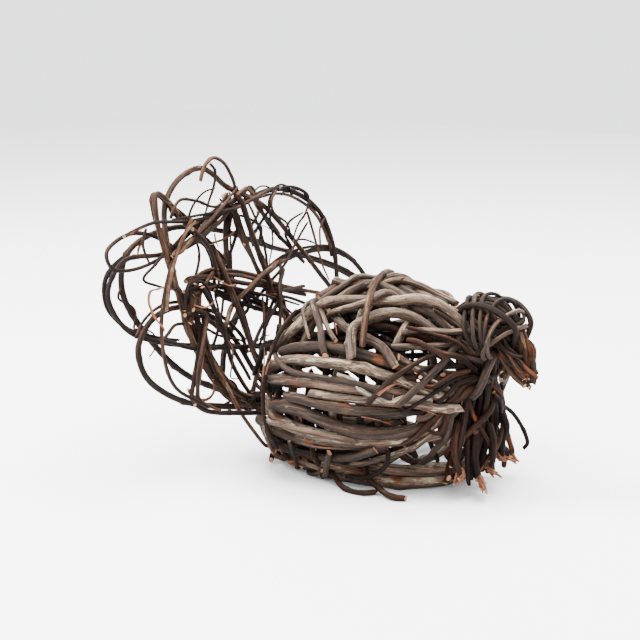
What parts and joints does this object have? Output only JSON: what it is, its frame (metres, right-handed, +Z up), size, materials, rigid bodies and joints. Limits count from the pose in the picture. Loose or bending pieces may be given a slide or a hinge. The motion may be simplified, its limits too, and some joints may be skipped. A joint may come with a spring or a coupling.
{
  "type": "grapevine turkey sculpture",
  "caption": "Turkey wound from dried grapevines: an open egg-shaped body, a fan of open loops for a tail, a bound neck and head, standing on a coil of vine.",
  "frame": {"origin": "centre of the outline at floor level", "axes": "+X toward the head, +Z up, the tail fan spreads along Y"},
  "size_m": [0.296, 0.3466, 0.2494],
  "materials": {
    "weathered_bark": "dry weathered grapevine bark",
    "dark_bark": "dark grapevine bark"
  },
  "bodies": {
    "root": {"base_ring": "weathered_bark", "rib_1": "weathered_bark", "rib_2": "weathered_bark", "rib_3": "weathered_bark", "flank_vine_1": "weathered_bark", "flank_vine_2": "weathered_bark", "flank_vine_3": "weathered_bark", "flank_vine_4": "weathered_bark", "flank_vine_5": "weathered_bark", "flank_vine_6": "weathered_bark", "flank_vine_7": "weathered_bark", "flank_vine_8": "weathered_bark", "flank_vine_9": "weathered_bark", "back_vine_1": "weathered_bark", "back_vine_2": "weathered_bark", "back_vine_3": "weathered_bark", "back_vine_4": "weathered_bark", "back_vine_5": "weathered_bark", "back_vine_6": "weathered_bark", "back_stick": "dark_bark", "breast_vine_1": "dark_bark", "breast_vine_2": "weathered_bark", "far_vine_1": "weathered_bark", "far_vine_2": "weathered_bark", "far_vine_3": "weathered_bark", "far_vine_4": "weathered_bark", "far_vine_5": "weathered_bark", "far_vine_6": "weathered_bark", "far_vine_7": "weathered_bark", "rear_binding": "dark_bark", "tail_great_loop": "dark_bark", "tail_outer_loop": "dark_bark", "tail_side_lobe": "dark_bark", "tail_arch": "dark_bark", "tail_kinked_vine": "dark_bark", "tail_crest_loop": "dark_bark", "tail_far_loop": "dark_bark", "tail_prop": "dark_bark", "tail_wave": "dark_bark", "tail_sash_1": "dark_bark", "tail_sash_2": "dark_bark", "tail_brace": "dark_bark", "tail_long_twig": "dark_bark", "tail_low_loop": "dark_bark", "tail_bent_twig": "dark_bark", "tail_drop_loop": "dark_bark", "tail_dark_twig": "dark_bark", "tail_level_twig": "dark_bark", "tail_strut": "dark_bark", "neck_vine_1": "dark_bark", "neck_vine_2": "dark_bark", "neck_vine_3": "dark_bark", "neck_vine_4": "dark_bark", "neck_vine_5": "dark_bark", "neck_band": "dark_bark", "head_wrap": "dark_bark", "beak_stick_1": "dark_bark", "beak_stick_2": "dark_bark", "beak_stick_3": "dark_bark"}
  },
  "joints": []
}
